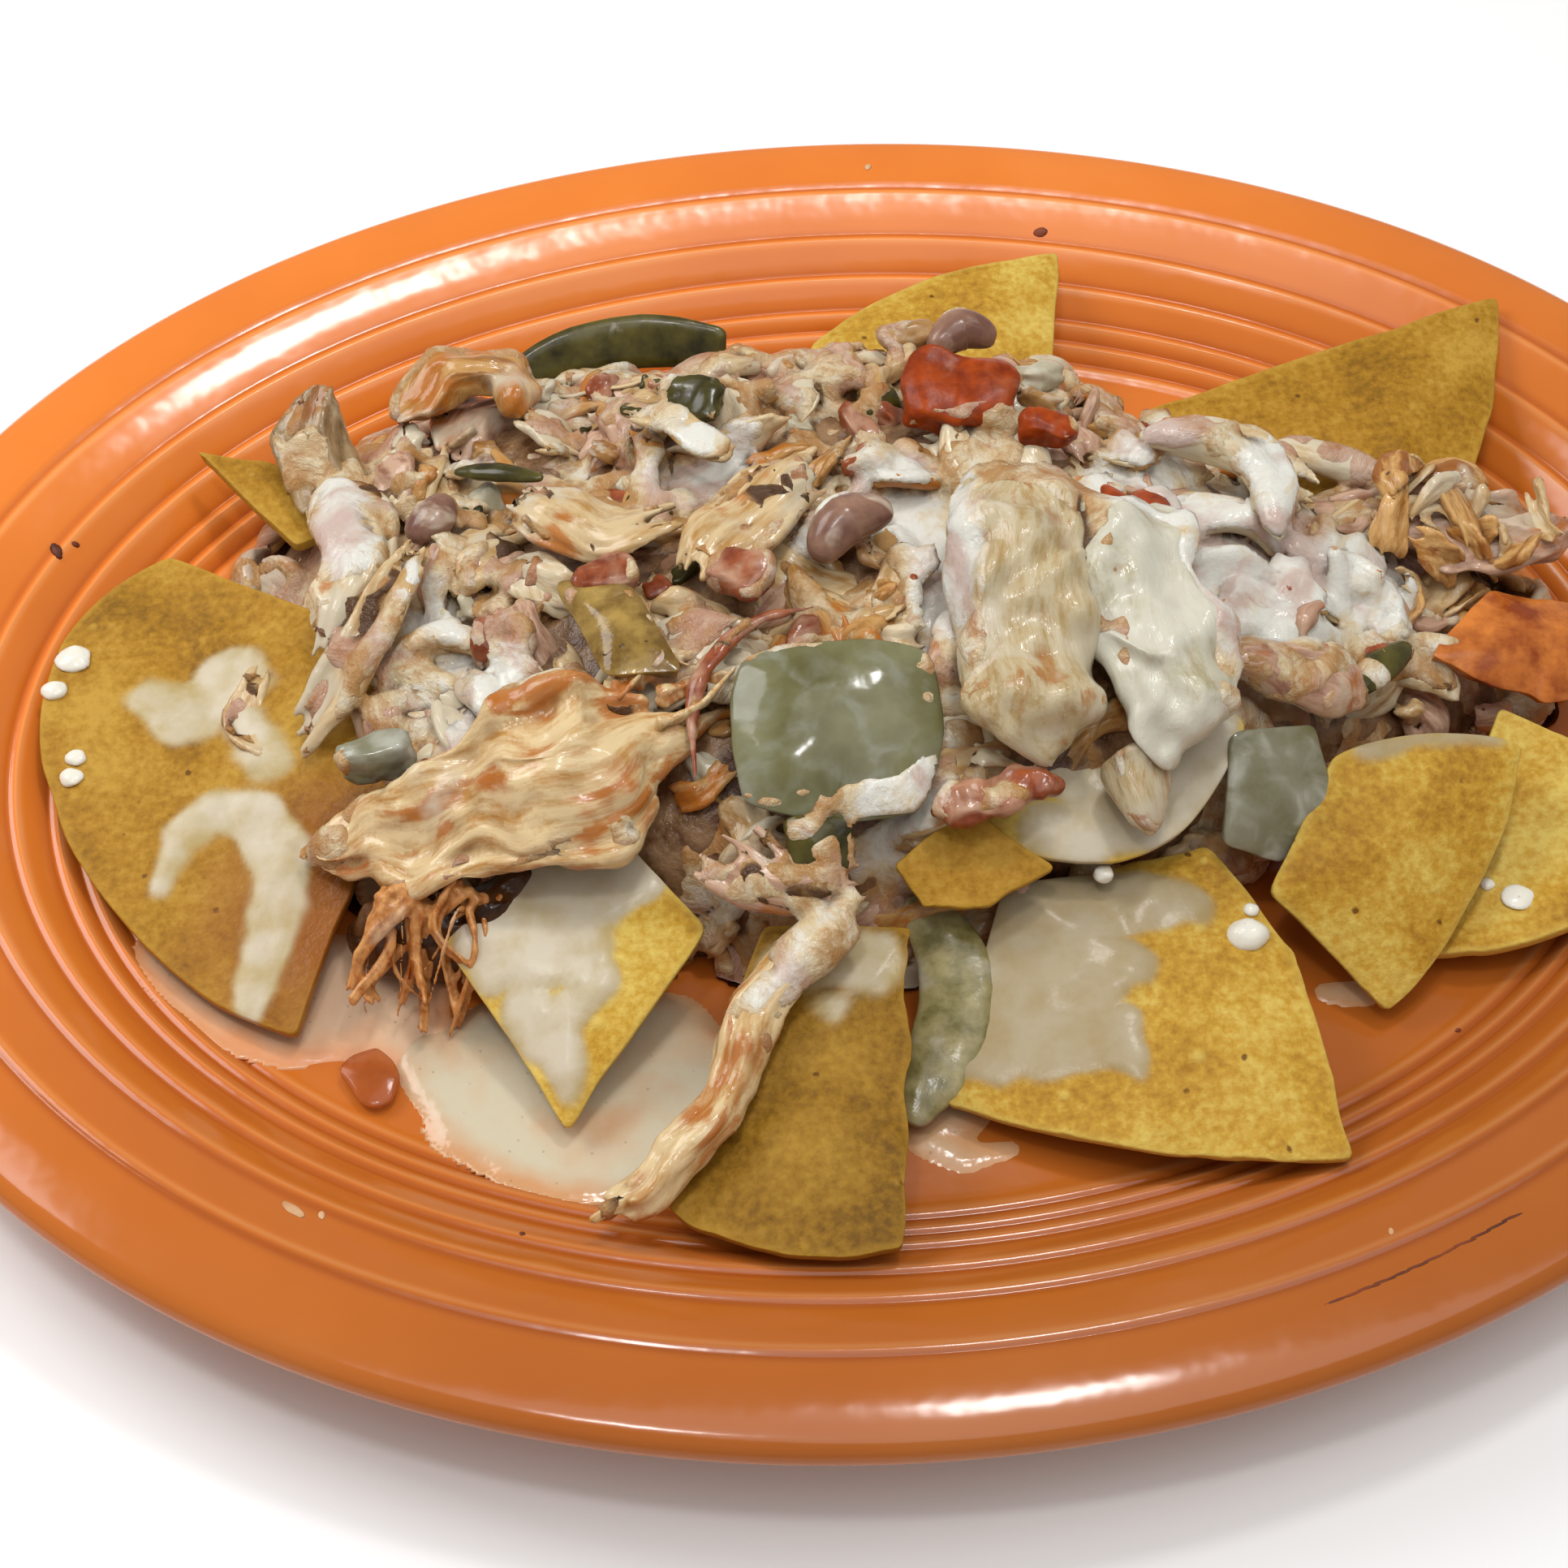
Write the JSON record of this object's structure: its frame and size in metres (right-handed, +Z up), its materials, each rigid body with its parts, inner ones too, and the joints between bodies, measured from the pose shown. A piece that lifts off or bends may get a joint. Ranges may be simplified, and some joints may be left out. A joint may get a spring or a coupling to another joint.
{
  "type": "nachos",
  "caption": "Nachos on an oval glazed platter: tortilla chips under pulled chicken, peppers, tomato, beans and queso sauce.",
  "frame": {"origin": "under the middle of the platter, on the surface that it stands on", "axes": "+X along the platter's length, -Y towards the side that the chips spill to, +Z up"},
  "size_m": [0.345, 0.274, 0.0599],
  "materials": {
    "glaze": "glossy orange glaze on vitrified stoneware",
    "chip": "fried corn tortilla, blistered and matt",
    "chicken": "pulled cooked chicken, fibrous and moist",
    "dressed": "small chicken shreds, tomato and onion bound by queso sauce",
    "pepper_dark": "cooked dark green pepper, wet skin",
    "pepper_pale": "soft pale green pepper under a film of queso",
    "tomato": "cooked tomato flesh, wet",
    "tomato_skin": "orange brown cooked tomato and pepper skin, wet",
    "bean": "cooked pinto bean",
    "onion": "translucent cooked onion",
    "queso": "pale melted cheese sauce with fine specks"
  },
  "bodies": {
    "root": {"platter": "glaze", "tomato_chunk_back": "tomato", "tomato_flesh_back": "tomato", "tomato_folded_skin": "tomato", "tomato_bit_left": "tomato", "tomato_bit_middle": "tomato", "tomato_bits_front": "tomato", "tomato_strip_middle": "tomato", "tomato_skin_right": "tomato_skin", "pepper_strip_back": "pepper_dark", "pepper_bit_back": "pepper_dark", "pepper_slit_left": "pepper_dark", "pepper_square_middle": "pepper_pale", "pepper_ring_front": "pepper_dark", "pepper_strip_front": "pepper_dark", "pepper_pale_right": "pepper_pale", "pepper_bit_right": "pepper_dark", "pepper_cube_left": "pepper_pale", "bean_back": "bean", "bean_middle": "bean", "bean_left": "bean", "onion_slice_heap": "onion", "onion_slice_platter": "onion", "chicken_lobe_left": "chicken", "chicken_lobe_right": "chicken", "chicken_tip_right": "chicken", "chicken_long_left": "chicken", "chicken_strand_front": "chicken", "chicken_fold_left": "chicken", "chicken_strip_left": "chicken", "chicken_shred_left": "chicken", "chicken_loop_right": "chicken", "chicken_band_right": "chicken", "chicken_shreds_right": "chicken", "chicken_piece_right": "chicken", "chicken_fold_middle": "chicken", "chicken_slice_middle": "chicken", "chicken_shard_back": "chicken", "chicken_upright_left": "chicken", "chicken_roll_back": "chicken", "chicken_net_front": "chicken", "chip_left": "chip", "chip_back_left": "chip", "chip_back": "chip", "chip_back_right": "chip", "chip_front_left": "chip", "chip_front": "chip", "chip_broken_front": "chip", "chip_under_chicken": "chip", "chip_front_right": "chip", "chip_right": "chip", "chip_edge_right": "chip", "queso_pool_left": "queso", "queso_pool_front": "queso", "queso_pool_right": "queso", "topping_heap": "dressed"}
  },
  "joints": []
}
